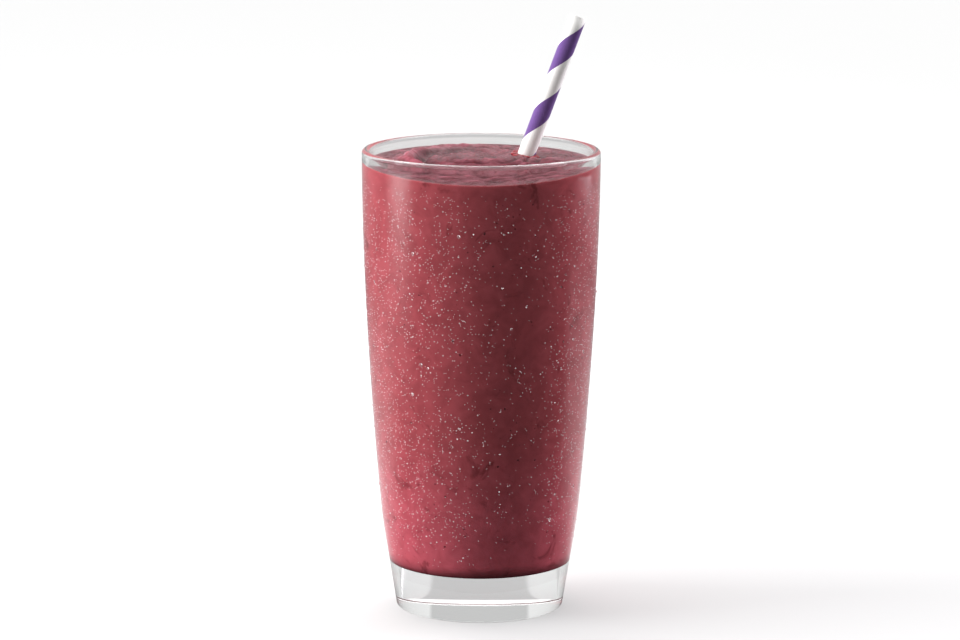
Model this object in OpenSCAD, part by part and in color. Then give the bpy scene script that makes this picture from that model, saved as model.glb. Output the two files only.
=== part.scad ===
// A berry smoothie in a tall clear tumbler, with a striped paper straw.
// Millimetres. The origin is the centre of the foot, on the table, and +Z is up.
// +X is the side the straw leans to, and -Y is the front.

/* [Tumbler] */
// Height of the glass, foot to rim
glass_h = 160; // [130:1:195]
// Outer radius at the rim
rim_r = 41; // [34:0.5:50]
// Outer radius at the foot, before its heel is rounded
foot_r = 28.9; // [23:0.1:32]
// How fast the thick foot widens, in mm for each mm of height
foot_flare = 0.163; // [0.1:0.001:0.22]
// Height where the wide foot cone runs out into the slimmer body
waist_h = 31; // [24:0.5:40]
// Half the height over which foot and body blend
waist_blend = 5; // [1:0.5:8]
// How early the body reaches its full width (1 is a straight cone)
body_curve = 1.75; // [1:0.05:2.4]
// Wall thickness just under the lip
wall_top = 2.2; // [1.6:0.1:3]
// Wall thickness at the floor of the glass
wall_low = 3.1; // [2:0.1:4.5]
// Radius of the melted, fully round lip
lip_r = 1.35; // [1:0.05:2]
// Height over which the lip thins into the wall
lip_blend = 4; // [2:0.5:8]

/* [Foot] */
// Thickness of the clear glass under the drink
floor_t = 15.7; // [8:0.1:22]
// Radius of the corner between floor and wall, inside
corner_r = 5; // [2:0.5:8]
// Radius of the outer heel
heel_r = 0.5; // [0.5:0.1:5]
// Width of the flat ring that the glass stands on
ring_w = 4; // [2:0.5:8]
// Depth of the shallow hollow under the foot
hollow_d = 0.5; // [0.5:0.1:3]

/* [Drink] */
// How far the drink stops short of the top of the glass, at its wall
brim_gap = 4.2; // [3:0.1:30]
// How much higher the drink stands at the back wall than at the middle
back_rise = 0.5; // [0:0.1:3]
// How much lower the drink stands at the front wall than it would with an even slope
front_dip = 2; // [0:0.1:3]
// Height of the soft mound over the drink's edge
mound_h = 0.9; // [0:0.1:4]
// Height of the poured folds
fold_h = 0.8; // [0:0.1:1.5]
// Distance from one turn of the fold to the next
fold_pitch = 15; // [10:0.5:25]
// Clearance between the drink and what it touches
wet_gap = 0.1; // [0.05:0.05:0.3]

/* [Straw] */
// Outer diameter of the paper straw
straw_d = 6; // [5:0.1:8]
// Thickness of its rolled paper wall
straw_wall = 0.5; // [0.35:0.05:0.8]
// Length of the straw
straw_len = 178; // [150:1:240]
// Tilt of the straw from upright
straw_tilt = 20.8; // [12:0.1:26]
// Direction it leans in, seen from above: 0 is +X and 90 is +Y
straw_heading = 13; // [-20:1:30]
// Where its lower end leans on the wall, seen from above
straw_rest_angle = 176.5; // [160:0.5:200]
// Height of its lower end over the floor of the glass
straw_rest_h = 21.8; // [15:0.1:40]
// Clearance between the straw's end and the wall it leans on
straw_seat_gap = 0.3; // [0.1:0.05:0.6]

/* [Hidden] */

// Steps along the wall, along a quarter of the lip, heel or corner, and under the foot
wall_steps = 32;
arc_steps = 6;
hollow_steps = 6;
// Turned pieces are true circles
turned_fn = 96;
// The drink's surface is a net of rings and spokes
surface_rings = 20;
surface_spokes = 72;
// Height of the block of air over the drink that shapes its surface
air_h = 20;
// The net of the air block reaches this far past the wall
net_over = 1;

lip_z = glass_h - lip_r;
waist_r = foot_r + foot_flare * waist_h;
body_flare = body_curve * (rim_r - waist_r) / (lip_z - waist_h);
drink_z = glass_h - brim_gap;

// Outer radius of the body, as if it ran on below the waist
function body_r(z) =
    waist_r + (rim_r - waist_r) * (1 - pow((lip_z - z) / (lip_z - waist_h), body_curve));

// The foot cone runs into the body through a short soft bend
function bend(d) = (foot_flare - body_flare) * pow(waist_blend - d, 2) / (4 * waist_blend);

function outer_r(z) =
    z < waist_h - waist_blend ? waist_r - foot_flare * (waist_h - z) :
    z < waist_h + waist_blend ? body_r(z) - bend(z - waist_h) :
    body_r(z);

// The wall thickens towards the floor, and towards the lip
function ease(t) = 0.5 + 0.5 * cos(180 * min(1, max(0, t)));
function wall(z) =
    wall_top + (wall_low - wall_top) * (lip_z - z) / (lip_z - floor_t)
    + (2 * lip_r - wall_top) * ease((lip_z - z) / lip_blend);
function inner_r(z) = outer_r(z) - wall(z);

// Points on an arc about [r, z], from one angle to another
function arc(r, z, radius, from, to) =
    [for (i = [0 : arc_steps])
        let (a = from + (to - from) * i / arc_steps)
        [r + radius * cos(a), z + radius * sin(a)]];

// Heel: touches the table and the foot cone
heel_angle = -atan(foot_flare);
heel_x = foot_r + foot_flare * heel_r - heel_r * sqrt(1 + pow(foot_flare, 2));
heel_top = heel_r + heel_r * sin(heel_angle);
ring_x = heel_x - ring_w;

// Inner corner: touches the floor and the inner wall
corner_z = floor_t + corner_r;
corner_flare = inner_r(corner_z) - inner_r(corner_z - 1);
corner_angle = -atan(corner_flare);
corner_x = inner_r(corner_z) - corner_r * sqrt(1 + pow(corner_flare, 2));
corner_top = corner_z + corner_r * sin(corner_angle);

// Heights along a wall, from one to another, closer together at both ends
function heights(low, high) =
    [for (i = [0 : wall_steps]) low + (high - low) * (1 - cos(180 * i / wall_steps)) / 2];

hollow_line = [for (i = [0 : hollow_steps - 1])
    let (t = i / hollow_steps)
    [ring_x * t, hollow_d * (1 - t * t)]];
outer_line = [for (z = heights(heel_top, lip_z)) [outer_r(z), z]];
inner_heights = heights(corner_top, lip_z);
inner_line = [for (i = [wall_steps : -1 : 0]) [inner_r(inner_heights[i]), inner_heights[i]]];

// Relief of the drink: level, higher at the back, dipping to the front, mounded, with one long spiral fold
function fold_fade(r) = ease((r - 0.55 * rim_r) / (0.32 * rim_r));
function fold(x, y) =
    let (
        rho = norm([x + 3, y - 4]),
        turn = rho / fold_pitch - atan2(y - 4, x + 3) / 360,
        strength = 0.65 + 0.35 * cos(atan2(y, x) - 130)
    )
    fold_h * strength * fold_fade(norm([x, y])) * min(1, rho / 6)
    * (0.75 * cos(360 * turn) + 0.25 * cos(720 * turn + 70));
function drink_top(x, y) =
    let (edge = norm([x, y]) / inner_r(drink_z), back = y / inner_r(drink_z))
    drink_z + back_rise * back - front_dip * pow(min(0, back), 2)
    + mound_h * (1 - pow(min(1, edge), 2)) + fold(x, y);

// Straw: its lower end leans on the inner wall
straw_end_z = floor_t + straw_rest_h;
straw_end_r = inner_r(straw_end_z) - straw_seat_gap - straw_d / 2 * cos(straw_tilt);
straw_end = [
    straw_end_r * cos(straw_rest_angle),
    straw_end_r * sin(straw_rest_angle),
    straw_end_z
];

module along_straw() {
    translate(straw_end)
        rotate([0, straw_tilt, straw_heading])
            children();
}

module glass() {
    color("lightcyan", 0.4)
        rotate_extrude($fn = turned_fn)
            polygon(concat(
                hollow_line,
                [[ring_x, 0]],
                arc(heel_x, heel_r, heel_r, -90, heel_angle),
                [for (i = [1 : wall_steps - 1]) outer_line[i]],
                arc(rim_r - lip_r, lip_z, lip_r, 0, 180),
                [for (i = [1 : wall_steps - 1]) inner_line[i]],
                arc(corner_x, corner_z, corner_r, corner_angle, -90),
                [[0, floor_t]]
            ));
}

// The room inside the glass, less a clearance all round
module inside(gap) {
    rotate_extrude($fn = turned_fn)
        polygon(concat(
            [[0, floor_t + gap]],
            arc(corner_x, corner_z, corner_r - gap, -90, corner_angle),
            [for (i = [wall_steps - 1 : -1 : 0]) inner_line[i] - [gap, 0]],
            [[0, lip_z]]
        ));
}

// The air over the drink: its underside is the drink's relief
module air() {
    reach = inner_r(lip_z - lip_blend) + net_over;
    spokes = surface_spokes;
    rings = surface_rings;
    net = [for (i = [1 : rings]) for (k = [0 : spokes - 1])
        let (r = reach * i / rings, a = 360 * k / spokes)
        [r * cos(a), r * sin(a), drink_top(r * cos(a), r * sin(a))]];
    lid = [for (k = [0 : spokes - 1])
        [reach * cos(360 * k / spokes), reach * sin(360 * k / spokes), drink_z + air_h]];
    middle = len(net) + len(lid);
    points = concat(net, lid, [[0, 0, drink_top(0, 0)], [0, 0, drink_z + air_h]]);
    faces = concat(
        [for (k = [0 : spokes - 1]) [middle, k, (k + 1) % spokes]],
        [for (i = [0 : rings - 2]) for (k = [0 : spokes - 1])
            let (a = i * spokes + k, b = i * spokes + (k + 1) % spokes)
            each [[a, a + spokes, b + spokes], [a, b + spokes, b]]],
        [for (k = [0 : spokes - 1])
            let (a = (rings - 1) * spokes + k, b = (rings - 1) * spokes + (k + 1) % spokes)
            each [[a, a + spokes, b + spokes], [a, b + spokes, b]]],
        [for (k = [0 : spokes - 1])
            [middle + 1, rings * spokes + (k + 1) % spokes, rings * spokes + k]]
    );
    polyhedron(points, faces, convexity = 6);
}

module straw_tube(outer, inner) {
    along_straw()
        difference() {
            cylinder(h = straw_len, r = outer, $fn = turned_fn);
            translate([0, 0, -1])
                cylinder(h = straw_len + 2, r = inner, $fn = turned_fn);
        }
}

// The drink fills the glass, and the straw too, up to the same level
module smoothie() {
    color("#8d3a4b")
        difference() {
            difference() {
                inside(wet_gap);
                air();
            }
            straw_tube(straw_d / 2 + wet_gap, straw_d / 2 - straw_wall - wet_gap);
        }
}

module straw() {
    color("#6e4687")
        straw_tube(straw_d / 2, straw_d / 2 - straw_wall);
}

glass();
smoothie();
straw();
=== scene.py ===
# %% [markdown]
# # A berry smoothie in a tall tumbler
#
# The drink stands in a clear pressed-glass tumbler with a heavy foot, a paper straw leans in it, and cold
# has brought a fine dew onto the outside of the glass. The construction model gives three plain solids:
# the glass, the drink and the straw. This lesson makes each again with its finish, and adds what is too
# small for the construction model: the dew, the flecks of berry skin, the pulp at the straw and the torn
# surface of the drink.

import math
import random

import bmesh
import bpy
import numpy as np
from mathutils import Matrix, Vector, noise


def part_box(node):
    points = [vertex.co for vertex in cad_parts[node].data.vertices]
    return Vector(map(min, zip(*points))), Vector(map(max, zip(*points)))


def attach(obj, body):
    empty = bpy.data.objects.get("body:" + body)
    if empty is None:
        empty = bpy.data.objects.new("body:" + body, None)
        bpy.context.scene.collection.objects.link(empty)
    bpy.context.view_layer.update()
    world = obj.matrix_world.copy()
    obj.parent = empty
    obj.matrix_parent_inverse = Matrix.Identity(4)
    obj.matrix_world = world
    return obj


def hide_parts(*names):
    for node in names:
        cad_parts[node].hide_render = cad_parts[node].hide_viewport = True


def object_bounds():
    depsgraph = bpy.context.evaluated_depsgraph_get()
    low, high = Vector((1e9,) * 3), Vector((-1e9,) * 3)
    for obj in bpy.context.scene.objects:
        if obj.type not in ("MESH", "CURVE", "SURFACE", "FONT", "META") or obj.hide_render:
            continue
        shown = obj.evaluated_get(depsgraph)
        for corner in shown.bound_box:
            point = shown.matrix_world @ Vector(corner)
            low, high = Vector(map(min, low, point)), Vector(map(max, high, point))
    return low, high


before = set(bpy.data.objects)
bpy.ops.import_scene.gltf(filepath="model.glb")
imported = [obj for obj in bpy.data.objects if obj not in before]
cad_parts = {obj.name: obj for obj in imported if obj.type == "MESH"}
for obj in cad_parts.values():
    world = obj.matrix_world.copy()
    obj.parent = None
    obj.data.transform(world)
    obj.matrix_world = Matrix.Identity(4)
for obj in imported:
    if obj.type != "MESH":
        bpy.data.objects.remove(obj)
cad_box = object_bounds()

MM = 0.001
cad_corners = [tuple(round(c, 4) for c in corner) for corner in cad_box]
print("nodes:", sorted(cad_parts), "| box in metres:", cad_corners)

# %% [markdown]
# ## The outline of the tumbler
#
# A pressed tumbler is a turned shape, so one outline describes it all. The outer wall is a cone at the
# heavy foot, bends softly at the waist, and flares less and less towards the lip. The wall thickness is a
# second function, and the inner wall is simply one minus the other. The height and the rim come from the
# frame's box, so the outline can't drift away from the construction model. The last lines measure how far
# it is from the model's own glass.

# %% Outline of the glass
GLASS_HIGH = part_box("glass")[1]
RIM_Z = GLASS_HIGH.z
RIM_R = GLASS_HIGH.x
FOOT_R = 28.9 * MM
FOOT_FLARE = 0.163
WAIST_Z = 31 * MM
WAIST_BLEND = 5 * MM
BODY_CURVE = 1.75
WALL_TOP = 2.2 * MM
WALL_LOW = 3.1 * MM
LIP_R = 1.35 * MM
LIP_BLEND = 4 * MM
FLOOR_Z = 15.7 * MM
CORNER_R = 5 * MM
HEEL_R = 0.5 * MM
RING_W = 4 * MM
HOLLOW_D = 0.5 * MM

LIP_Z = RIM_Z - LIP_R
WAIST_R = FOOT_R + FOOT_FLARE * WAIST_Z
BODY_FLARE = BODY_CURVE * (RIM_R - WAIST_R) / (LIP_Z - WAIST_Z)


def ease(t):
    """1 at t = 0, falling smoothly to 0 at t = 1."""
    return 0.5 + 0.5 * math.cos(math.pi * min(1.0, max(0.0, t)))


def outer_radius(z):
    cone = WAIST_R - FOOT_FLARE * (WAIST_Z - z)
    if z < WAIST_Z - WAIST_BLEND:
        return cone
    body = WAIST_R + (RIM_R - WAIST_R) * (1 - ((LIP_Z - z) / (LIP_Z - WAIST_Z)) ** BODY_CURVE)
    if z < WAIST_Z + WAIST_BLEND:
        return body - (FOOT_FLARE - BODY_FLARE) * (WAIST_BLEND - (z - WAIST_Z)) ** 2 / (4 * WAIST_BLEND)
    return body


def inner_radius(z):
    rise = (LIP_Z - z) / (LIP_Z - FLOOR_Z)
    wall = WALL_TOP + (WALL_LOW - WALL_TOP) * rise + (2 * LIP_R - WALL_TOP) * ease((LIP_Z - z) / LIP_BLEND)
    return outer_radius(z) - wall


def arc(r, z, radius, start, end, steps):
    """Points on an arc about (r, z), with the angles in radians."""
    angles = [start + (end - start) * i / steps for i in range(steps + 1)]
    return [(r + radius * math.cos(a), z + radius * math.sin(a)) for a in angles]


def heights(low, high, steps):
    """Heights between two levels, closer together at both ends."""
    return [low + (high - low) * (1 - math.cos(math.pi * i / steps)) / 2 for i in range(steps + 1)]


def corner(floor_z, radius, wall_radius):
    """The centre and the upper angle of a rounded corner between a floor and a leaning wall."""
    z = floor_z + radius
    flare = (wall_radius(z) - wall_radius(z - MM)) / MM
    return wall_radius(z) - radius * math.sqrt(1 + flare * flare), z, -math.atan(flare)


heel_x, heel_z, heel_angle = corner(0.0, HEEL_R, outer_radius)
corner_x, corner_z, corner_angle = corner(FLOOR_Z, CORNER_R, inner_radius)
ring_x = heel_x - RING_W

glass_verts = np.empty(len(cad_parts["glass"].data.vertices) * 3)
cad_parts["glass"].data.vertices.foreach_get("co", glass_verts)
glass_verts = glass_verts.reshape(-1, 3)
off = [math.hypot(x, y) - outer_radius(z) for x, y, z in glass_verts
       if 10 * MM < z < LIP_Z and math.hypot(x, y) > inner_radius(z) + MM]
print("outer wall is within", round(max(abs(d) for d in off) / MM, 3), "mm of the construction model's")

# %% [markdown]
# ## Small helpers
#
# Each piece below is made in a bmesh, which is Blender's editable mesh. It then becomes an object, gets
# smooth shading, is hung on the body it rides on and gets its materials, and the plain solid it stands
# for is hidden. Two helpers do that work, and a third turns an outline round the Z axis.

# %% Helpers for pieces
SPIN_AXIS = Vector((0, 0, 1))


def turn_outline(bm, points, steps):
    """Turns a line of (radius, height) points once round the Z axis and closes it up."""
    line = [bm.verts.new((r, 0, z)) for r, z in points]
    edges = [bm.edges.new(pair) for pair in zip(line, line[1:])]
    bmesh.ops.spin(bm, geom=line + edges, cent=(0, 0, 0), axis=SPIN_AXIS, angle=math.tau,
                   steps=steps, use_merge=True, use_duplicate=False)
    bmesh.ops.remove_doubles(bm, verts=bm.verts[:], dist=0.002 * MM)
    bmesh.ops.dissolve_degenerate(bm, dist=0.001 * MM, edges=bm.edges[:])
    bmesh.ops.recalc_face_normals(bm, faces=bm.faces[:])


def finish_mesh(bm, name, smooth=True):
    """Makes an object of a bmesh."""
    mesh = bpy.data.meshes.new(name)
    bm.to_mesh(mesh)
    bm.free()
    mesh.polygons.foreach_set("use_smooth", [smooth] * len(mesh.polygons))
    piece = bpy.data.objects.new(name, mesh)
    bpy.context.scene.collection.objects.link(piece)
    return piece


def place(piece, slot, materials, *replaced):
    """Hands the piece to the frame with its finish."""
    for material in materials:
        piece.data.materials.append(material)
    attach(piece, "root")
    if replaced:
        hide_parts(*replaced)
    piece.data.calc_loop_triangles()
    print(piece.name, "has", len(piece.data.loop_triangles), "triangles")


print("piece helpers:", [helper.__name__ for helper in (turn_outline, finish_mesh, place)])

# %% [markdown]
# ## Camera
#
# A drink is shown from well back with a long lens, so that its sides stay almost parallel. The camera
# could be aimed by a constraint, but one matrix is plainer: it stands 1.3 metres away and looks down by
# about eleven degrees, just enough to see over the rim.

# %% Camera
CAMERA_PLACE = (-0.0002, -1.300, 0.3467)
CAMERA_DOWN = math.radians(10.73)
CAMERA_ROLL = math.radians(0.25)
LENS = 143.6

camera = bpy.data.objects.new("camera", bpy.data.cameras.new("camera"))
camera.data.lens = LENS
camera.data.sensor_width = 36
camera.data.clip_end = 100
camera.matrix_world = (
    Matrix.Translation(CAMERA_PLACE)
    @ Matrix.Rotation(math.pi / 2 - CAMERA_DOWN, 4, "X")
    @ Matrix.Rotation(CAMERA_ROLL, 4, "Z")
)
scene = bpy.context.scene
scene.collection.objects.link(camera)
bpy.context.scene.camera = camera
scene.view_settings.view_transform = "Standard"
print("camera looks down by", round(math.degrees(CAMERA_DOWN), 2), "degrees")

# %% [markdown]
# ## Helpers for materials
#
# Every material below is a small tree of nodes. Written out in full, each node takes four lines of
# Python, so a few helpers do the typing: one adds a node with its inputs, one maps a range of numbers to
# another, one mixes two numbers, one does a step of arithmetic, and one gives the axes of the object's
# own coordinates.

# %% Helpers for materials


def new_material(name):
    """A material, its tree of nodes and its Principled shader."""
    material = bpy.data.materials.new(name)
    material.use_nodes = True
    tree = material.node_tree
    return material, tree, tree.nodes["Principled BSDF"]


def add_node(tree, kind, inputs=None, **settings):
    """Adds a node; inputs maps a socket's name or number to a value or to another node's output."""
    node = tree.nodes.new(kind)
    for key, value in settings.items():
        setattr(node, key, value)
    for key, value in (inputs or {}).items():
        if isinstance(value, bpy.types.NodeSocket):
            tree.links.new(value, node.inputs[key])
        else:
            node.inputs[key].default_value = value
    return node


def ramp(tree, value, span, low, high, smooth=True):
    """Goes from low to high while the value crosses the span."""
    kind = "SMOOTHSTEP" if smooth else "LINEAR"
    return add_node(tree, "ShaderNodeMapRange", {0: value, 1: span[0], 2: span[1], 3: low, 4: high},
                    interpolation_type=kind).outputs[0]


def blend(tree, factor, without, with_it):
    """A mix of two numbers."""
    return add_node(tree, "ShaderNodeMix", {0: factor, 2: without, 3: with_it}).outputs[0]


def sums(tree, operation, *values):
    """One step of arithmetic."""
    return add_node(tree, "ShaderNodeMath", dict(enumerate(values)), operation=operation).outputs[0]


def own_axes(tree):
    """The object's own coordinates, whole and split into X, Y and Z."""
    where = add_node(tree, "ShaderNodeTexCoord").outputs["Object"]
    return where, add_node(tree, "ShaderNodeSeparateXYZ", {0: where}).outputs


material_helpers = (new_material, add_node, ramp, blend, sums, own_axes)
print("material helpers:", [helper.__name__ for helper in material_helpers])

# %% [markdown]
# ## The floor
#
# Clear glass has no colour of its own. It shows whatever stands round it, so a studio surrounds it with
# cards: dark ones that the front of the glass mirrors, so that no haze lies over the drink, grey ones
# behind the foot, and a white strip at the left for a soft highlight. Real cards would block the light
# and stand in other views. The floor does their work instead: the Light Path node tells which kind of ray
# asks, and each kind gets its own paleness.

# %% The floor
FLOOR_SIZE = 60.0
FLOOR_WHITE = 0.46
PAINTED_LIGHT_SPAN, PAINTED_LIGHT_LEFT, PAINTED_SHADOW_RIGHT = (-0.04, 0.05), 1.12, 0.93
FAR_PAINTED_LIGHT_SPAN, FAR_PAINTED_LIGHT = (-0.05, 0.6), 1.15

floor_bm = bmesh.new()
bmesh.ops.create_grid(floor_bm, x_segments=8, y_segments=8, size=FLOOR_SIZE / 2)
floor = finish_mesh(floor_bm, "floor", smooth=False)
floor_paint, tree, shader = new_material("pale floor")
where, (x, y, _) = own_axes(tree)
# Painted light and shadow: the floor as the camera sees it is painted paler at the left, where the soft
# light falls, darker at the right, where the glass casts its shadow, and paler again far off.
lit = ramp(tree, x, PAINTED_LIGHT_SPAN, FLOOR_WHITE * PAINTED_LIGHT_LEFT, FLOOR_WHITE * PAINTED_SHADOW_RIGHT)
plain = ramp(tree, y, FAR_PAINTED_LIGHT_SPAN, lit, FLOOR_WHITE * FAR_PAINTED_LIGHT)
floor.data.materials.append(floor_paint)
print("floor is", FLOOR_SIZE, "m wide, with an albedo of", FLOOR_WHITE, "where it is plain")

# %% [markdown]
# What the glass mirrors comes first. It is dark in front, with a pale halo beside and behind the foot
# that gives the sides of the tumbler their bright edges, and a soft white card far out at the left.

# %% What the glass mirrors
MIRROR_DARK = 0.02
MIRROR_SPAN, MIRROR_SHARE = (0.05, 1.4), 0.7
HALO_WHITE, HALO_FAR = 0.40, 0.05
HALO_REACH, HALO_SPAN = (0.10, 0.65), (-0.03, 0.09)
CARD_WHITE = 0.36
CARD_BEARING, CARD_WIDTH, CARD_REACH = -0.12, 0.42, (0.1, 0.75)

reach = add_node(tree, "ShaderNodeVectorMath", {0: where}, operation="LENGTH").outputs["Value"]
halo = ramp(tree, y, HALO_SPAN, 0.0, ramp(tree, reach, HALO_REACH, HALO_WHITE, HALO_FAR, smooth=False))
depths = ramp(tree, y, MIRROR_SPAN, MIRROR_DARK, FLOOR_WHITE * MIRROR_SHARE)
leftwards = sums(tree, "MULTIPLY", x, -1.0)
bearing = sums(tree, "DIVIDE", y, leftwards)
off_card = sums(tree, "ABSOLUTE", sums(tree, "SUBTRACT", bearing, CARD_BEARING))
card = ramp(tree, leftwards, CARD_REACH, 0.0, ramp(tree, off_card, (0.0, CARD_WIDTH), 1.0, 0.0))
mirrored = blend(tree, card, sums(tree, "MAXIMUM", depths, halo), CARD_WHITE)
print("the card lies", round(math.degrees(math.atan(CARD_BEARING)), 1), "degrees off the left")

# %% [markdown]
# Then what shows through the clear foot, painted as light and shade: bright just behind the heel, a
# painted light over the shadow there, grey in the middle, a painted shade, and paler to both sides.

# %% What shows through the foot
FOOT_PAINTED_SHADE, FOOT_PAINTED_LIGHT, HEEL_PAINTED_LIGHT = 0.235, 0.33, 0.8
SLANT_SPAN, HEEL_SPAN = (0.34, 0.40), (0.040, 0.050)
BEYOND_SPAN, BEYOND_SHARE = (0.4, 1.5), 0.92

slant = sums(tree, "DIVIDE", sums(tree, "ABSOLUTE", x), sums(tree, "SUBTRACT", y, FOOT_R))
grey = ramp(tree, slant, SLANT_SPAN, FOOT_PAINTED_SHADE, FOOT_PAINTED_LIGHT, smooth=False)
heel = ramp(tree, y, HEEL_SPAN, HEEL_PAINTED_LIGHT, grey, smooth=False)
through = ramp(tree, y, BEYOND_SPAN, heel, FLOOR_WHITE * BEYOND_SHARE)
path = add_node(tree, "ShaderNodeLightPath")
bounced = blend(tree, path.outputs["Is Reflection Ray"], plain, mirrored)
paleness = blend(tree, path.outputs["Is Transmission Ray"], bounced, through)
tree.links.new(paleness, shader.inputs["Base Color"])
shader.inputs["Roughness"].default_value = 0.8
shader.inputs["Specular IOR Level"].default_value = 0.1
print("floor paint has", len(tree.nodes), "nodes")

# %% [markdown]
# ## The studio
#
# Drinks are lit from behind: a bright wall behind the glass gives clear glass its edges and makes a dark
# liquid look fresh. A wall could be modelled, but the world can be one: it is grey low down behind, so
# that the clear foot has tone, bright high up behind, so that the wet surface shines, and dim in front.

# %% The studio
BACKDROP_GREY, BACKDROP_WHITE, BACKDROP_SPAN = 0.62, 0.92, (0.40, 0.44)
SKY_BACK, SKY_BACK_SPAN = 4.4, (0.45, 0.85)
SKY_FRONT, SKY_TOP, SKY_FRONT_SPAN = 0.62, 1.5, (0.5, 0.9)
BEHIND_SPAN = (-0.15, 0.35)

world = bpy.data.worlds.new("studio")
world.use_nodes = True
tree = world.node_tree
direction = add_node(tree, "ShaderNodeTexCoord").outputs["Generated"]
x, y, z = add_node(tree, "ShaderNodeSeparateXYZ", {0: direction}).outputs
backdrop = ramp(tree, sums(tree, "ABSOLUTE", x), BACKDROP_SPAN, BACKDROP_GREY, BACKDROP_WHITE, smooth=False)
back_sky = ramp(tree, z, SKY_BACK_SPAN, backdrop, SKY_BACK)
front_sky = ramp(tree, z, SKY_FRONT_SPAN, SKY_FRONT, SKY_TOP)
background = tree.nodes["Background"]
tree.links.new(ramp(tree, y, BEHIND_SPAN, front_sky, back_sky), background.inputs["Strength"])
background.inputs["Color"].default_value = (1, 1, 1, 1)
scene.world = world
print("the world is", round(SKY_BACK / SKY_TOP, 1), "times as bright high behind as high in front")

# %% [markdown]
# ## Soft lights
#
# One large soft light at the left models the side of the drink, and a weaker, slightly cool one from
# behind at the right lifts the other edge. Curved glass would mirror both as hard white blocks, so they
# are hidden from reflections and from what is seen through the glass, as if they shone through a silk.

# %% Soft lights


def soft_light(name, position, target, width, height, power, colour=(1.0, 1.0, 1.0)):
    """A rectangular soft light that faces the target and isn't seen in the glass."""
    data = bpy.data.lights.new(name, "AREA")
    data.shape = "RECTANGLE"
    data.size, data.size_y, data.energy, data.color = width, height, power, colour
    light = bpy.data.objects.new(name, data)
    facing = (Vector(target) - Vector(position)).to_track_quat("-Z", "Y")
    light.matrix_world = Matrix.Translation(position) @ facing.to_matrix().to_4x4()
    light.visible_transmission = False
    light.visible_glossy = False
    scene.collection.objects.link(light)
    return light


lights = [
    soft_light("left soft light", (-0.94, -0.10, 0.32), (0, 0, 0.09), 0.55, 0.6, 19),
    soft_light("right soft light", (0.85, 0.44, 0.19), (0, 0, 0.06), 0.4, 0.4, 12, (0.98, 0.93, 1.0)),
]
print("soft lights of", [light.data.energy for light in lights], "watts")

# %% [markdown]
# ## The glass
#
# The tumbler's outline runs from the middle of the underside, round the heel, up the outside, over the
# fire-polished lip, down the inside and across the floor. A lathe is the natural tool: bmesh's spin turns
# the outline once round. It gets many more steps than the construction model has, because glass shows
# every facet as a wobble in what is seen through it.

# %% The tumbler
TURN_STEPS = 224
WALL_STEPS = 44
ARC_STEPS = 10
LIP_STEPS = 16
FLOOR_STEPS = 6

wall_low_z = heel_z + HEEL_R * math.sin(heel_angle)
inside_low_z = corner_z + CORNER_R * math.sin(corner_angle)
tumbler_outline = (
    [(ring_x * i / ARC_STEPS, HOLLOW_D * (1 - (i / ARC_STEPS) ** 2)) for i in range(ARC_STEPS)]
    + [(ring_x, 0.0)]
    + arc(heel_x, heel_z, HEEL_R, -math.pi / 2, heel_angle, ARC_STEPS)
    + [(outer_radius(z), z) for z in heights(wall_low_z, LIP_Z, WALL_STEPS)[1:-1]]
    + arc(RIM_R - LIP_R, LIP_Z, LIP_R, 0, math.pi, LIP_STEPS)
    + [(inner_radius(z), z) for z in heights(inside_low_z, LIP_Z, WALL_STEPS)[-2:0:-1]]
    + arc(corner_x, corner_z, CORNER_R, corner_angle, -math.pi / 2, ARC_STEPS)
    + [(corner_x * i / FLOOR_STEPS, FLOOR_Z) for i in range(FLOOR_STEPS - 1, -1, -1)]
)
tumbler_bm = bmesh.new()
turn_outline(tumbler_bm, tumbler_outline, TURN_STEPS)
print("tumbler volume", round(tumbler_bm.calc_volume() / MM ** 3 / 1000, 1), "cm3")
tumbler = finish_mesh(tumbler_bm, "tumbler")

# %% [markdown]
# ## Clear glass and clear water
#
# Glass is the shader's full transmission with a refractive index of 1.5, and water the same with 1.33.
# Fine dew scatters light as well, so the smaller the drops are, the rougher and the less clear their
# water is. A physically exact pane makes a path tracer search long for the light behind it. So for
# shadows and for light that has already been scattered by the drink, the pane is simply transparent: the
# Light Path node makes that choice.

# %% Clear materials
GLASS_IOR, WATER_IOR = 1.5, 1.33


def clear_material(name, ior, roughness, colour, clearness=1.0):
    material, tree, shader = new_material(name)
    shader.inputs["Base Color"].default_value = (*colour, 1)
    shader.inputs["Roughness"].default_value = roughness
    shader.inputs["IOR"].default_value = ior
    shader.inputs["Transmission Weight"].default_value = clearness
    path = add_node(tree, "ShaderNodeLightPath")
    scattered = sums(tree, "MAXIMUM", path.outputs["Is Shadow Ray"], path.outputs["Is Diffuse Ray"])
    open_way = add_node(tree, "ShaderNodeBsdfTransparent", {"Color": (*colour, 1)})
    mix = add_node(tree, "ShaderNodeMixShader", {0: scattered, 1: shader.outputs[0], 2: open_way.outputs[0]})
    tree.links.new(mix.outputs[0], tree.nodes["Material Output"].inputs["Surface"])
    return material


clear_glass = clear_material("clear glass", GLASS_IOR, 0.0, (0.985, 0.995, 0.99))
clear_water = clear_material("clear water", WATER_IOR, 0.0, (1.0, 1.0, 1.0))
dew_water = clear_material("dew", WATER_IOR, 0.03, (1.0, 0.95, 0.96), 0.6)
mist_water = clear_material("mist", WATER_IOR, 0.2, (1.0, 0.96, 0.97), 0.35)
place(tumbler, "tumbler_glass", [clear_glass], "glass")

# %% [markdown]
# ## The poured surface
#
# A thick smoothie doesn't find its level. It is poured in turns, and each turn leaves a soft fold. The
# surface could be sculpted, but a height function of x and y can be checked and changed: a level that
# climbs a little at the back and dips at the front, a low mound, and one long spiral fold. It is the
# construction model's own, so the two agree.

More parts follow.
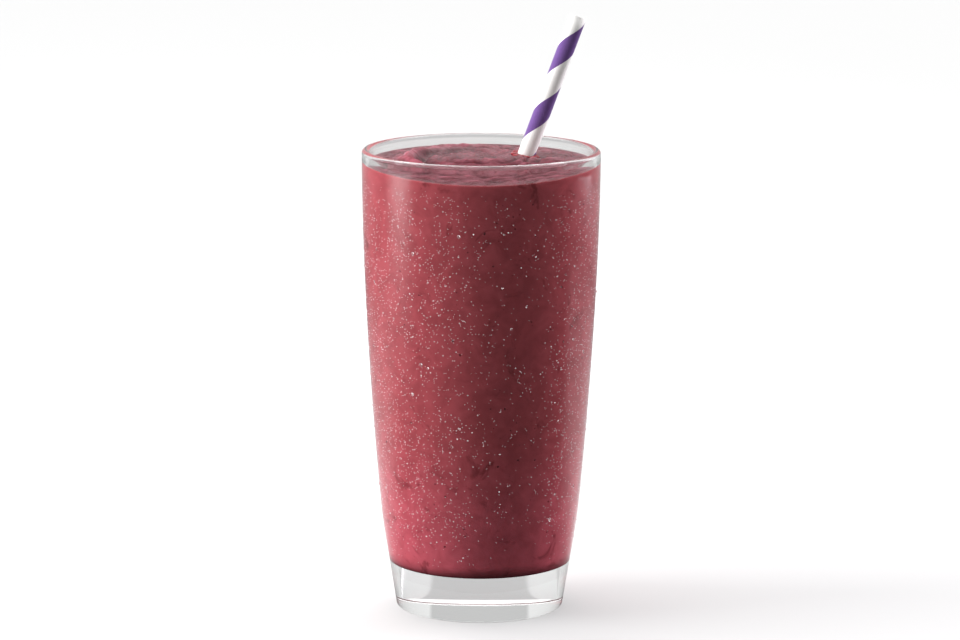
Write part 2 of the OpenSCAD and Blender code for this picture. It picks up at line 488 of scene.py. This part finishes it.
# %% The poured surface
DRINK_Z = RIM_Z - 4.2 * MM
BACK_RISE = 0.5 * MM
FRONT_DIP = 2.0 * MM
MOUND_H = 0.9 * MM
FOLD_H = 0.8 * MM
FOLD_PITCH = 15 * MM
FOLD_X, FOLD_Y = -3 * MM, 4 * MM
FOLD_START = 6 * MM
FOLD_STRONG = math.radians(130)
FOLD_FADE, FOLD_FADE_WIDTH = 0.55 * RIM_R, 0.32 * RIM_R
DRINK_R = inner_radius(DRINK_Z)


def spiral(x, y, pitch):
    """How many turns out a point lies on a spiral, and its distance from the spiral's middle."""
    rho = math.hypot(x - FOLD_X, y - FOLD_Y)
    return rho / pitch - math.atan2(y - FOLD_Y, x - FOLD_X) / math.tau, rho


def poured_relief(x, y):
    """The poured shape, as in the construction model."""
    r = math.hypot(x, y)
    turn, rho = spiral(x, y, FOLD_PITCH)
    strength = 0.65 + 0.35 * math.cos(math.atan2(y, x) - FOLD_STRONG)
    wave = 0.75 * math.cos(math.tau * turn) + 0.25 * math.cos(2 * math.tau * turn + math.radians(70))
    fold = FOLD_H * strength * ease((r - FOLD_FADE) / FOLD_FADE_WIDTH) * min(1, rho / FOLD_START) * wave
    back = y / DRINK_R
    level = DRINK_Z + BACK_RISE * back - FRONT_DIP * min(0.0, back) ** 2
    return level + MOUND_H * (1 - min(1, r / DRINK_R) ** 2) + fold


print("drink stands", round((RIM_Z - poured_relief(0, -DRINK_R)) / MM, 2), "mm under the rim at the front")

# %% [markdown]
# ## Ripples, tears and bubbles
#
# Closer up the surface has finer marks: ripples that follow the turns of the pour, the raised lip of the
# last turn, tears where thick pulp pulled apart, and the dents of burst bubbles. Bump in a material would
# not change the outline that shows against the back wall, so these are height functions too. Noise bends
# the ripples, because a spiral that is too even looks machined.

# %% Ripples, tears and bubbles
TEAR_H, TEAR_SIZE = 0.7 * MM, 6
RIPPLE_H, RIPPLE_PITCH, RIPPLE_START = 0.9 * MM, 6.5 * MM, 9 * MM
RIDGE_H, RIDGE_R, RIDGE_WIDTH = 1.7 * MM, 27 * MM, 2.4 * MM
RIDGE_ANGLE = math.radians(140)
RIDGE_DRIFT, RIDGE_WANDER = 2.5 * MM, 1.2 * MM
PIT_COUNT, PIT_DEPTH, PIT_LIMIT = 260, 0.16 * MM, 0.3 * MM
CALM_EDGE = 0.9

rng = random.Random(11)
pits = []
for _ in range(PIT_COUNT):
    angle, radius = rng.uniform(0, math.tau), DRINK_R * math.sqrt(rng.uniform(0, 0.94))
    pits.append((radius * math.cos(angle), radius * math.sin(angle), rng.uniform(0.35, 0.95) * MM))
pit_x, pit_y, pit_r = np.array(pits).T


def ripple(x, y, p):
    """Grooves that follow the pour, bent and broken by noise; p is the place in millimetres."""
    turn, rho = spiral(x, y, RIPPLE_PITCH)
    turn += 1.3 * noise.noise(p / 17 + Vector((0, 0, 4.2))) + 0.45 * noise.noise(p / 8)
    groove = (1 - abs(math.sin(math.pi * turn))) ** 1.5 * RIPPLE_H * min(1, rho / RIPPLE_START)
    return groove * min(1.0, max(0.15, 0.75 + 1.3 * noise.noise(p / 10 + Vector((0, 0, 9.1)))))


def ridge(x, y, p):
    """The raised lip of the last turn, with a crease inside it."""
    around = (math.atan2(y, x) - RIDGE_ANGLE + math.pi) % math.tau - math.pi
    wander = RIDGE_DRIFT * around + RIDGE_WANDER * noise.noise(p / 7)
    across = (math.hypot(x, y) - RIDGE_R + wander) / RIDGE_WIDTH
    profile = math.exp(-across ** 2) - 0.7 * math.exp(-(across + 1.9) ** 2)
    return RIDGE_H * ease((abs(around) - 0.6) / 0.9) * profile


def dents(x, y):
    """Burst bubbles."""
    d = np.hypot(pit_x - x, pit_y - y) / pit_r
    near = d[d < 1.6]
    return min(float(np.sum(np.exp(-(near ** 2) * 2.5))) * PIT_DEPTH, PIT_LIMIT)


def fine_relief(x, y):
    """All the finer marks, which calm down at the glass."""
    p = Vector((x, y, 0)) / MM
    tear = noise.fractal(p / TEAR_SIZE + Vector((3.1, 0, 0)), 0.9, 2.1, 4) * TEAR_H
    calm = ease((math.hypot(x, y) / DRINK_R - CALM_EDGE) / (1 - CALM_EDGE))
    return calm * (ridge(x, y, p) + tear - ripple(x, y, p) - dents(x, y))


def drink_top(x, y):
    return poured_relief(x, y) + fine_relief(x, y)


marks = [fine_relief(i * MM, j * MM) / MM for i in range(-30, 31, 3) for j in range(-30, 31, 3)]
print("finer marks reach from", round(min(marks), 2), "to", round(max(marks), 2), "mm")

# %% [markdown]
# ## The body of the drink
#
# The drink wets the glass, so there is no air between them. Its skin is therefore turned from the inner
# wall and reaches a little way into it: the ray passes from air into glass and straight onto the fruit,
# as it does in the real thing. The top is part of the same outline, with close rings, and is then pushed
# up into the relief. How high each point lies on the finer marks is kept in an attribute, which places
# the painted highlights on the crests and the painted shade in the creases.

# %% The drink
INTO_WALL = 0.15 * MM
SKIN_STEPS = 384
SIDE_STEPS = 40
TOP_RINGS = 100
EDGE_DROP = 0.6 * MM
CREST_SPAN = 2.4 * MM
TOP_FACES_UP = 0.3

side = [(inner_radius(z) + INTO_WALL, z) for z in heights(inside_low_z, DRINK_Z - 5 * MM, SIDE_STEPS)[1:]]
drink_outline = (
    [(corner_x * i / 4, FLOOR_Z - INTO_WALL) for i in range(4)]
    + arc(corner_x, corner_z, CORNER_R + INTO_WALL, -math.pi / 2, corner_angle, 8)
    + side
    + [(DRINK_R + INTO_WALL, DRINK_Z)]
    + [(DRINK_R * (TOP_RINGS - i) / TOP_RINGS, DRINK_Z + 1 * MM) for i in range(TOP_RINGS + 1)]
)
drink_bm = bmesh.new()
turn_outline(drink_bm, drink_outline, SKIN_STEPS)
crest = drink_bm.verts.layers.float.new("crest")
for vert in drink_bm.verts:
    if vert.co.z > DRINK_Z - EDGE_DROP:
        fine = fine_relief(vert.co.x, vert.co.y)
        drop = EDGE_DROP if vert.co.z < DRINK_Z + 0.5 * MM else 0
        vert[crest] = min(1.0, max(0.0, 0.5 + fine / CREST_SPAN))
        vert.co.z = poured_relief(vert.co.x, vert.co.y) + fine - drop
bmesh.ops.recalc_face_normals(drink_bm, faces=drink_bm.faces[:])
for face in drink_bm.faces:
    if face.normal.z > TOP_FACES_UP:
        face.material_index = 1
levels = [vert.co.z for vert in drink_bm.verts]
print("drink is", round((max(levels) - min(levels)) / MM, 1), "mm deep, with", len(drink_bm.faces), "faces")
drink = finish_mesh(drink_bm, "drink")

# %% [markdown]
# ## Blended fruit
#
# Blended fruit is a deep wine red that lets a little light in, with cloudy patches where pulp is thicker
# and darker smudges of skin. The patches are a node group, because the flecks and the pulp use them too.
# Subsurface scattering gives the softness, and a fine bump gives the slightly grainy skin.

# %% Blended fruit
SMUDGE_BERRY = (0.60, 0.55, 0.55, 1)
CLOUD_SCALE, GRAIN_SCALE, SMUDGE_SCALE = 160.0, 2200.0, 75.0


def cloud_group():
    """Object coordinates in; a cloudy mask, a fine grain and a mask of smudges out."""
    group = bpy.data.node_groups.new("pulp clouds", "ShaderNodeTree")
    face = group.interface
    face.new_socket("Vector", in_out="INPUT", socket_type="NodeSocketVector")
    for name in ("Clouds", "Grain", "Smudges"):
        face.new_socket(name, in_out="OUTPUT", socket_type="NodeSocketFloat")
    start = group.nodes.new("NodeGroupInput")
    end = group.nodes.new("NodeGroupOutput")

    def pulp_noise(scale, detail, roughness, distortion):
        inputs = {"Vector": start.outputs[0], "Scale": scale, "Detail": detail,
                  "Roughness": roughness, "Distortion": distortion}
        return add_node(group, "ShaderNodeTexNoise", inputs).outputs[0]

    clouds = ramp(group, pulp_noise(CLOUD_SCALE, 5.0, 0.6, 0.6), (0.38, 0.66), 0.0, 1.0, smooth=False)
    smudges = ramp(group, pulp_noise(SMUDGE_SCALE, 4.0, 0.65, 0.9), (0.60, 0.70), 0.0, 1.0, smooth=False)
    for socket, value in enumerate((clouds, pulp_noise(GRAIN_SCALE, 3.0, 0.6, 0.0), smudges)):
        group.links.new(value, end.inputs[socket])
    return group


pulp_clouds = cloud_group()


def tint(material, factor, colour):
    """Multiplies the material's colour by another where the factor is 1."""
    tree = material.node_tree
    base = tree.nodes["Principled BSDF"].inputs["Base Color"]
    tinted = add_node(tree, "ShaderNodeMix", {0: factor, 6: base.links[0].from_socket, 7: colour},
                      data_type="RGBA", blend_type="MULTIPLY")
    tree.links.new(tinted.outputs[2], base)


def fruit_material(name, deep, light, gloss, roughness, bump):
    material, tree, shader = new_material(name)
    where = add_node(tree, "ShaderNodeTexCoord")
    clouds = add_node(tree, "ShaderNodeGroup", node_tree=pulp_clouds)
    tree.links.new(where.outputs["Object"], clouds.inputs[0])
    colour = add_node(tree, "ShaderNodeMix", {0: clouds.outputs["Clouds"], 6: deep, 7: light},
                      data_type="RGBA")
    tree.links.new(colour.outputs[2], shader.inputs["Base Color"])
    tint(material, clouds.outputs["Smudges"], SMUDGE_BERRY)
    grain = add_node(tree, "ShaderNodeBump", {"Strength": bump, "Distance": 0.2 * MM,
                                              "Height": clouds.outputs["Grain"]})
    tree.links.new(grain.outputs[0], shader.inputs["Normal"])
    shader.inputs["Roughness"].default_value = roughness
    shader.inputs["Specular IOR Level"].default_value = gloss
    shader.inputs["Subsurface Weight"].default_value = 0.25
    shader.inputs["Subsurface Radius"].default_value = (1.0, 0.35, 0.3)
    shader.inputs["Subsurface Scale"].default_value = 1.2 * MM
    return material


print("pulp clouds:", [item.name for item in pulp_clouds.interface.items_tree])

# %% [markdown]
# ## The finish of the drink
#
# The drink has two finishes. Against the glass it is wet all over, so it has no gloss of its own, and low
# down its colour is painted paler, a painted light that stands for the pale floor shining into it. The
# open surface has a darker copy of the berry colour, a painted shade, and it is glossy. There the crests
# get a painted highlight and the creases a painted shade, which the attribute of the mesh places, and the
# front mirrors the bright wall only as a blur.

# %% Finish of the drink
DEEP_BERRY, LIGHT_BERRY = (0.24, 0.044, 0.053, 1), (0.30, 0.056, 0.068, 1)
SHADED_TOP_DEEP, SHADED_TOP_LIGHT = (0.085, 0.016, 0.023, 1), (0.165, 0.048, 0.064, 1)
LOW_PAINTED_LIGHT, LOW_PAINTED_LIGHT_SPAN = (1.38, 1.36, 1.50, 1), (18 * MM, 72 * MM)
CREST_PAINTED_HIGHLIGHT, CREST_PART = (1.75, 1.75, 1.75, 1), (0.48, 0.85)
CREASE_SHADE, CREASE_PART = (0.62, 0.46, 0.50, 1), (0.18, 0.46)
TOP_ROUGHNESS, DULL_SPAN = 0.28, (-0.3 * DRINK_R, 0.15 * DRINK_R)

blended_berry = fruit_material("blended berry", DEEP_BERRY, LIGHT_BERRY, 0.0, 0.6, 0.2)
_, (_, _, z) = own_axes(blended_berry.node_tree)
# Painted light: the berry colour is made paler low down, where the pale floor would shine into it.
tint(blended_berry, ramp(blended_berry.node_tree, z, LOW_PAINTED_LIGHT_SPAN, 1.0, 0.0), LOW_PAINTED_LIGHT)

# Painted shade: the open top gets a darker copy of the berry colour than the sides.
open_surface = fruit_material("open surface", SHADED_TOP_DEEP, SHADED_TOP_LIGHT, 0.15, TOP_ROUGHNESS, 0.5)
tree = open_surface.node_tree
_, (_, y, _) = own_axes(tree)
dulling = ramp(tree, y, DULL_SPAN, 1.0, TOP_ROUGHNESS)
tree.links.new(dulling, tree.nodes["Principled BSDF"].inputs["Roughness"])
height = add_node(tree, "ShaderNodeAttribute", attribute_name="crest").outputs["Fac"]
# Painted highlight on the crests and painted shade in the creases, from the crest attribute.
tint(open_surface, ramp(tree, height, CREST_PART, 0.0, 1.0), CREST_PAINTED_HIGHLIGHT)
tint(open_surface, ramp(tree, height, CREASE_PART, 1.0, 0.0), CREASE_SHADE)
place(drink, "berry_smoothie", [blended_berry, open_surface], "smoothie")

# %% [markdown]
# ## The paper straw
#
# A paper straw is a printed ribbon wound into a tube, so its stripe isn't painted on: it is the ribbon.
# The model does the same. A short upright edge is spun round the straw's axis and lifted at every step,
# once for the purple ribbon and once for the white one. The ends are cut square, and the wall gets its
# thickness.

# %% The straw's ribbons
STRAW_R = 3.0 * MM
STRAW_WALL = 0.5 * MM
STRAW_LEN = 178 * MM
STRAW_TILT = math.radians(20.8)
STRAW_HEADING = math.radians(13)
STRAW_REST_ANGLE = math.radians(176.5)
STRAW_REST_Z = FLOOR_Z + 21.8 * MM
STRAW_SEAT_GAP = 0.3 * MM
PITCH = 23.5 * MM
PURPLE_SHARE = 0.47
WIND_STEPS = 64
STRIPE_TOP = STRAW_LEN - 0.5 * MM
STRIPE_SIDE = math.radians(-13)

straw_r_at_rest = inner_radius(STRAW_REST_Z) - STRAW_SEAT_GAP - STRAW_R * math.cos(STRAW_TILT)
straw_place = (
    Matrix.Translation((straw_r_at_rest * math.cos(STRAW_REST_ANGLE),
                        straw_r_at_rest * math.sin(STRAW_REST_ANGLE), STRAW_REST_Z))
    @ Matrix.Rotation(STRAW_HEADING, 4, "Z")
    @ Matrix.Rotation(STRAW_TILT, 4, "Y")
)


def wind_ribbon(bm, top, width):
    """Winds a ribbon whose upper edge passes the height top at the straw's side."""
    turns = math.ceil(top / PITCH) + 1
    low = top - turns * PITCH
    x, y = STRAW_R * math.cos(STRIPE_SIDE), STRAW_R * math.sin(STRIPE_SIDE)
    faces_before = set(bm.faces)
    ends = [bm.verts.new((x, y, low - width)), bm.verts.new((x, y, low))]
    edge = bm.edges.new(ends)
    steps = (turns + 2) * WIND_STEPS
    bmesh.ops.spin(bm, geom=ends + [edge], cent=(0, 0, 0), axis=SPIN_AXIS, dvec=(0, 0, PITCH / WIND_STEPS),
                   angle=math.tau * (turns + 2), steps=steps, use_merge=False, use_duplicate=False)
    return set(bm.faces) - faces_before


straw_bm = bmesh.new()
purple_faces = wind_ribbon(straw_bm, STRIPE_TOP, PURPLE_SHARE * PITCH)
wind_ribbon(straw_bm, STRIPE_TOP - PURPLE_SHARE * PITCH, (1 - PURPLE_SHARE) * PITCH)
for face in purple_faces:
    face.material_index = 1
bmesh.ops.remove_doubles(straw_bm, verts=straw_bm.verts[:], dist=0.01 * MM)
for height, normal in ((0.0, (0, 0, -1)), (STRAW_LEN, (0, 0, 1))):
    bmesh.ops.bisect_plane(straw_bm, geom=straw_bm.verts[:] + straw_bm.edges[:] + straw_bm.faces[:],
                           plane_co=(0, 0, height), plane_no=normal, dist=0.001 * MM, clear_outer=True)
purple_count = sum(face.material_index for face in straw_bm.faces)
print("straw ribbons:", len(straw_bm.faces), "faces,", purple_count, "purple")

# %% [markdown]
# The tube is still a sheet. Solidify gives it the thickness of rolled paper, inwards, and everything that
# isn't the outer skin goes back to plain paper, because only the outside of the ribbon is printed.

# %% The straw's wall
bmesh.ops.recalc_face_normals(straw_bm, faces=straw_bm.faces[:])
middle_face = min(straw_bm.faces, key=lambda f: abs(f.calc_center_median().z - STRAW_LEN / 2))
outwards = middle_face.normal.dot(middle_face.calc_center_median() * Vector((1, 1, 0))) > 0
if not outwards:
    bmesh.ops.reverse_faces(straw_bm, faces=straw_bm.faces[:])
bmesh.ops.solidify(straw_bm, geom=straw_bm.faces[:], thickness=STRAW_WALL)
for face in straw_bm.faces:
    centre = face.calc_center_median()
    if math.hypot(centre.x, centre.y) < STRAW_R - 0.1 * MM:
        face.material_index = 0
reach = [math.hypot(v.co.x, v.co.y) / MM for v in straw_bm.verts]
print("straw wall from", round(min(reach), 2), "to", round(max(reach), 2), "mm")
bmesh.ops.transform(straw_bm, matrix=straw_place, verts=straw_bm.verts[:])
straw = finish_mesh(straw_bm, "paper_straw")

# %% [markdown]
# Paper is matt with a faint sheen from the press, and it is never quite even: long fibres show as a soft
# mottle. One node group makes the mottle, and both papers use it.

# %% Paper materials
FIBRE_SCALE, FIBRE_SPAN = 2600.0, (0.3, 0.7)


def fibre_group():
    """A soft mottle with long fibres in it."""
    group = bpy.data.node_groups.new("paper fibre", "ShaderNodeTree")
    face = group.interface
    face.new_socket("Vector", in_out="INPUT", socket_type="NodeSocketVector")
    face.new_socket("Fibre", in_out="OUTPUT", socket_type="NodeSocketFloat")
    start = group.nodes.new("NodeGroupInput")
    end = group.nodes.new("NodeGroupOutput")
    stretch = add_node(group, "ShaderNodeMapping", {"Vector": start.outputs[0], "Scale": (1.0, 1.0, 0.35)})
    fibres = add_node(group, "ShaderNodeTexNoise", {"Vector": stretch.outputs[0], "Scale": FIBRE_SCALE,
                                                    "Detail": 4.0, "Roughness": 0.65})
    group.links.new(fibres.outputs[0], end.inputs[0])
    return group


paper_fibre = fibre_group()


def paper_material(name, dark, light, roughness):
    material, tree, shader = new_material(name)
    where = add_node(tree, "ShaderNodeTexCoord")
    fibre = add_node(tree, "ShaderNodeGroup", node_tree=paper_fibre)
    tree.links.new(where.outputs["Object"], fibre.inputs[0])
    shades = add_node(tree, "ShaderNodeValToRGB", {0: fibre.outputs[0]})
    for stop, position, colour in zip(shades.color_ramp.elements, FIBRE_SPAN, (dark, light)):
        stop.position, stop.color = position, colour
    tree.links.new(shades.outputs[0], shader.inputs["Base Color"])
    nap = add_node(tree, "ShaderNodeBump", {"Strength": 0.15, "Distance": 0.1 * MM,
                                            "Height": fibre.outputs[0]})
    tree.links.new(nap.outputs[0], shader.inputs["Normal"])
    shader.inputs["Roughness"].default_value = roughness
    return material


white_paper = paper_material("white paper", (0.74, 0.73, 0.71, 1), (0.82, 0.81, 0.80, 1), 0.55)
purple_paper = paper_material("purple print", (0.105, 0.048, 0.195, 1), (0.135, 0.064, 0.240, 1), 0.42)
place(straw, "striped_paper", [white_paper, purple_paper], "straw")

# %% [markdown]
# ## Many small pieces
#
# Cold glass in warm air mists over with thousands of tiny drops, and flecks lie against it by the
# hundred. Modelling them as real shapes gives them real highlights. A scatter of separate objects would
# be slow and would be lost on export, so one small shape is copied, as arrays of points, into one mesh
# for each kind.

# %% Scatter helpers
DROP_DOME = 0.62


def as_arrays(bm):
    """The points and triangles of a bmesh, as arrays."""
    bmesh.ops.triangulate(bm, faces=bm.faces[:])
    bm.verts.ensure_lookup_table()
    verts = np.array([v.co[:] for v in bm.verts])
    faces = np.array([[v.index for v in f.verts] for f in bm.faces])
    bm.free()
    return verts, faces


def cap_prototype(sides, rings, height):
    """A low-polygon drop: a dome over a flat foot that is sunk into the glass."""
    bm = bmesh.new()
    angles = [math.pi / 2 * i / rings for i in range(rings + 1)]
    points = [(math.cos(a), height * math.sin(a)) for a in angles]
    turn_outline(bm, [(0.0, -0.06)] + points[:-1] + [(0.0, height)], sides)
    return as_arrays(bm)


def copies(name, prototype, matrices):
    """One mesh that holds a copy of the prototype at every matrix."""
    verts, faces = prototype
    moves = np.array([np.array(m) for m in matrices])
    placed = np.einsum("nij,vj->nvi", moves[:, :3, :3], verts) + moves[:, None, :3, 3]
    indices = faces[None] + (np.arange(len(moves)) * len(verts))[:, None, None]
    mesh = bpy.data.meshes.new(name)
    mesh.from_pydata(placed.reshape(-1, 3).tolist(), [], indices.reshape(-1, 3).tolist())
    mesh.polygons.foreach_set("use_smooth", [True] * len(mesh.polygons))
    piece = bpy.data.objects.new(name, mesh)
    scene.collection.objects.link(piece)
    return piece


def on_wall(angle, z, radius_at, width, tall, thick, twist):
    """A matrix that stands a unit shape on a turned wall, its Z along the wall's normal."""
    slope = (radius_at(z + MM) - radius_at(z - MM)) / (2 * MM)
    normal = Vector((math.cos(angle), math.sin(angle), -slope)).normalized()
    around = Vector((-math.sin(angle), math.cos(angle), 0))
    up = normal.cross(around)
    turned = around * math.cos(twist) + up * math.sin(twist)
    across = up * math.cos(twist) - around * math.sin(twist)
    r = radius_at(z)
    m = Matrix.Identity(4)
    for i, (axis, size) in enumerate(((turned, width), (across, tall), (normal, thick))):
        m.col[i][:3] = axis * size
    m.col[3][:3] = (r * math.cos(angle), r * math.sin(angle), z)
    return m


print("the smallest drop has", len(cap_prototype(5, 2, DROP_DOME)[1]), "triangles")

# %% [markdown]
# ## Dew
#
# Drops don't overlap: a new one that lands on another is swallowed by it. The scatter keeps a grid of
# what is already there and drops what would touch. Noise makes some patches denser, and one stretch of
# the front is nearly dry, as if a hand had held it there. Big drops come first, then dew, then the finest
# mist between them. A drop that would stand out past the rim is left out.

# %% Where the dew lies
DEW_LOW, DEW_HIGH = 20 * MM, 155.5 * MM
DEW_FADE_LOW, DEW_FADE_HIGH = 25 * MM, 6 * MM
DRY_ANGLE, DRY_HALF, DRY_BLEND = math.radians(-76), 0.25, 0.35
DRYNESS = 1.6
DEW_SHARE = 0.66
PATCH_SIZE = 9 * MM
DEW_CELL = 2.4 * MM
DEW_TOUCH = 0.95


def dew_chance(angle, z, spread):
    """How likely a drop is to form here."""
    patch = noise.noise(Vector((math.cos(angle) * RIM_R, math.sin(angle) * RIM_R, z)) / PATCH_SIZE)
    from_dry = abs((angle - DRY_ANGLE + math.pi) % math.tau - math.pi)
    patch -= DRYNESS * ease((from_dry - DRY_HALF) / DRY_BLEND)
    fade = ease((z - DEW_HIGH + DEW_FADE_HIGH) / DEW_FADE_HIGH)
    fade *= 1 - 0.7 * ease((z - DEW_LOW) / DEW_FADE_LOW)
    return (DEW_SHARE + spread * patch) * fade


def scatter_dew(seed, count, smallest, largest, taken, spread, squash):
    """Random drops between two radii; taken is the list of drops already on the glass."""
    rng = random.Random(seed)
    grid = {}
    for drop in taken:
        grid.setdefault((int(drop[0] * RIM_R / DEW_CELL), int(drop[1] / DEW_CELL)), []).append(drop)
    drops, tries = [], 0
    while len(drops) < count and tries < count * 30:
        tries += 1
        angle, z = rng.uniform(0, math.tau), rng.uniform(DEW_LOW, DEW_HIGH)
        if rng.random() > dew_chance(angle, z, spread):
            continue
        r = smallest * (largest / smallest) ** (rng.random() ** 1.6)
        if outer_radius(z) + DROP_DOME * r > RIM_R:
            continue
        key = (int(angle * RIM_R / DEW_CELL), int(z / DEW_CELL))
        near = [d for i in (-1, 0, 1) for j in (-1, 0, 1) for d in grid.get((key[0] + i, key[1] + j), [])]
        if any(math.hypot((d[0] - angle) * RIM_R, d[1] - z) < (d[2] + r) * DEW_TOUCH for d in near):
            continue
        drop = (angle, z, r)
        grid.setdefault(key, []).append(drop)
        drops.append(drop + (rng.uniform(0, math.tau), rng.uniform(1 - squash, 1 + squash)))
    return drops


big_drops = scatter_dew(3, 110, 0.30 * MM, 0.70 * MM, [], 0.35, 0.18)
dew_drops = scatter_dew(4, 1700, 0.14 * MM, 0.25 * MM, big_drops, 0.3, 0.15)
mist_drops = scatter_dew(5, 9800, 0.08 * MM, 0.15 * MM, big_drops + dew_drops, 0.3, 0.1)
print("drops of each kind:", len(big_drops), len(dew_drops), len(mist_drops))

# %% [markdown]
# Each kind gets as many sides as its size on the glass deserves, so the mist stays light.

# %% Dew on the glass
for name, drops, sides, rings, water in (("big_drops", big_drops, 20, 7, clear_water),
                                         ("dew_drops", dew_drops, 10, 4, dew_water),
                                         ("mist_drops", mist_drops, 5, 2, mist_water)):
    matrices = [on_wall(a, z, outer_radius, r * s, r / s, r, t) for a, z, r, t, s in drops]
    place(copies(name, cap_prototype(sides, rings, DROP_DOME), matrices), "tumbler_glass", [water])

# %% [markdown]
# ## Flecks of skin and seed
#
# A blender never gets everything. Small dark scraps of skin and crushed seed lie against the glass. Each
# is a flattened, uneven pebble. One rough prototype is squashed and turned differently each time.

# %% Flecks against the glass
FLECK_COUNT = 700
FLECK_SMALL, FLECK_RANGE, FLECK_RARITY = 0.10 * MM, 5.0, 2.6
FLECK_THICK = 0.06 * MM


def pebble_prototype(seed):
    """A rough pebble of twenty faces."""
    bm = bmesh.new()
    bmesh.ops.create_icosphere(bm, subdivisions=1, radius=1.0)
    for vert in bm.verts:
        vert.co *= 1 + 0.35 * noise.noise(vert.co * 1.3 + Vector((seed, 0, 0)))
    return as_arrays(bm)


def against_glass(z):
    return inner_radius(z) + INTO_WALL


def fleck_matrices(seed, count):
    rng = random.Random(seed)
    matrices = []
    for _ in range(count):
        size = FLECK_SMALL * (FLECK_RANGE ** (rng.random() ** FLECK_RARITY))
        z = rng.uniform(FLOOR_Z + 6 * MM, DRINK_Z - 5 * MM)
        matrices.append(on_wall(rng.uniform(0, math.tau), z, against_glass, size * rng.uniform(0.7, 1.5),
                                size * rng.uniform(0.6, 1.0), FLECK_THICK, rng.uniform(0, math.tau)))
    return matrices


dark_skin = fruit_material("dark skin", (0.030, 0.008, 0.010, 1), (0.075, 0.016, 0.020, 1), 0.0, 0.4, 0.1)
flecks = copies("berry_flecks", pebble_prototype(5), fleck_matrices(21, FLECK_COUNT))
place(flecks, "berry_smoothie", [dark_skin])

# %% [markdown]
# ## Pulp at the foot of the straw
#
# Where the straw goes in, it has dragged some redder pulp up to the surface. It lies there as a few flat,
# uneven dabs, so the pebble serves again, only larger and brighter. Each dab follows the relief under it.

# %% Pulp round the straw
DAB_COUNT = 46
DAB_SIDE, DAB_SPREAD = 215, 70
DAB_FLAT = 0.45
STRAW_FOOT = (14 * MM, 0.0)

straw_axis = straw_place.to_3x3() @ SPIN_AXIS
rise = (drink_top(*STRAW_FOOT) - straw_place.translation.z) / straw_axis.z
foot = straw_place.translation + straw_axis * rise


def dab_matrices(seed):
    rng = random.Random(seed)
    matrices = []
    for _ in range(DAB_COUNT):
        angle = math.radians(rng.gauss(DAB_SIDE, DAB_SPREAD))
        away = STRAW_R * rng.uniform(1.05, 1.35) + abs(rng.gauss(0, 1.1)) * MM
        x, y = foot.x + away * math.cos(angle), foot.y + away * math.sin(angle)
        size = rng.uniform(0.4, 1.4) * MM
        along = Matrix.Rotation(angle + math.pi / 2 + rng.uniform(-0.5, 0.5), 4, "Z")
        matrices.append(Matrix.Translation((x, y, drink_top(x, y))) @ along
                        @ Matrix.Diagonal((size * rng.uniform(1.0, 1.9), size, size * DAB_FLAT, 1)))
    return matrices


red_pulp = fruit_material("red pulp", (0.20, 0.024, 0.033, 1), (0.29, 0.037, 0.048, 1), 0.2, 0.35, 0.2)
pulp = copies("straw_pulp", pebble_prototype(9), dab_matrices(31))
place(pulp, "berry_smoothie", [red_pulp])
